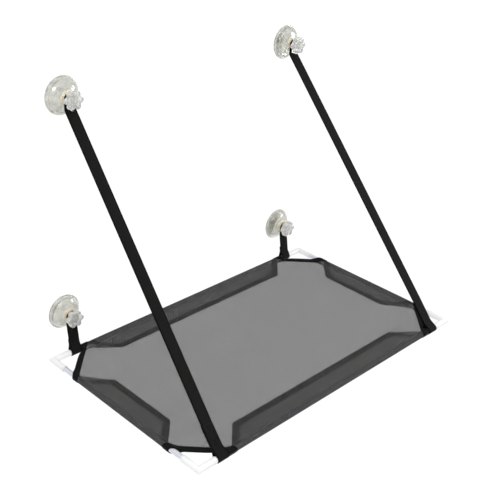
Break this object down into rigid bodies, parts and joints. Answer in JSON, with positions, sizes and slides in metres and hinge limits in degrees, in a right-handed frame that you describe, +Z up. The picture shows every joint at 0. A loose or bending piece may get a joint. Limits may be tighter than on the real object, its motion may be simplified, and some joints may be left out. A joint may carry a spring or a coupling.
{
  "type": "window mounted cat perch",
  "caption": "Tube frame with a taut mesh bed, hung from suction cups on a window by long front straps and short rear straps; the bed folds up towards the glass and the cup knobs turn.",
  "frame": {"origin": "the point of the window glass at the middle of the perch, level with the axes of the frame tubes", "axes": "+X along the window, to the right as seen from the room; +Y square to the glass and away from the room; +Z up"},
  "size_m": [0.56, 0.3518, 0.4284],
  "materials": {
    "white_plastic": "smooth moulded",
    "grey_tube": "satin",
    "black_mesh": "open woven mesh",
    "binding_tape": "woven tape",
    "webbing": "ribbed webbing",
    "clear_soft_plastic": "clear, polished",
    "natural_plastic": "moulded",
    "nickel_plate": "plated",
    "clear_hard_plastic": "clear, moulded"
  },
  "bodies": {
    "glass_side": {"upper_left_cup": "clear_soft_plastic", "upper_right_cup": "clear_soft_plastic", "lower_left_cup": "clear_soft_plastic", "lower_right_cup": "clear_soft_plastic", "upper_left_stud": "natural_plastic", "upper_right_stud": "natural_plastic", "lower_left_stud": "natural_plastic", "lower_right_stud": "natural_plastic", "upper_left_eyelet": "nickel_plate", "upper_right_eyelet": "nickel_plate", "lower_left_eyelet": "nickel_plate", "lower_right_eyelet": "nickel_plate", "left_long_strap": "webbing", "right_long_strap": "webbing", "left_short_strap": "webbing", "right_short_strap": "webbing"},
    "bed_frame": {"window_left_elbow": "white_plastic", "window_right_elbow": "white_plastic", "front_left_elbow": "white_plastic", "front_right_elbow": "white_plastic", "window_left_binding": "binding_tape", "window_right_binding": "binding_tape", "front_left_binding": "binding_tape", "front_right_binding": "binding_tape", "front_tube": "grey_tube", "window_tube": "grey_tube", "left_tube": "grey_tube", "right_tube": "grey_tube", "front_sleeve": "black_mesh", "window_sleeve": "black_mesh", "left_sleeve": "black_mesh", "right_sleeve": "black_mesh", "bed_panel": "black_mesh"},
    "upper_left_knob": {"upper_left_knob": "clear_hard_plastic"},
    "upper_right_knob": {"upper_right_knob": "clear_hard_plastic"},
    "lower_left_knob": {"lower_left_knob": "clear_hard_plastic"},
    "lower_right_knob": {"lower_right_knob": "clear_hard_plastic"}
  },
  "joints": [
    {"name": "frame_fold", "type": "hinge", "parent": "glass_side", "child": "bed_frame", "pos_m": [0, -0.0261, 0], "axis": [-1, 0, 0], "range_deg": [0, 72], "deforming": ["left_long_strap", "right_long_strap"]},
    {"name": "upper_left_knob_turn", "type": "hinge", "parent": "glass_side", "child": "upper_left_knob", "pos_m": [-0.223, -0.0268, 0.395], "axis": [0, -1, 0], "continuous": true},
    {"name": "upper_right_knob_turn", "type": "hinge", "parent": "glass_side", "child": "upper_right_knob", "pos_m": [0.223, -0.0268, 0.395], "axis": [0, -1, 0], "continuous": true},
    {"name": "lower_left_knob_turn", "type": "hinge", "parent": "glass_side", "child": "lower_left_knob", "pos_m": [-0.235, -0.0268, 0.058], "axis": [0, -1, 0], "continuous": true},
    {"name": "lower_right_knob_turn", "type": "hinge", "parent": "glass_side", "child": "lower_right_knob", "pos_m": [0.235, -0.0268, 0.058], "axis": [0, -1, 0], "continuous": true}
  ]
}
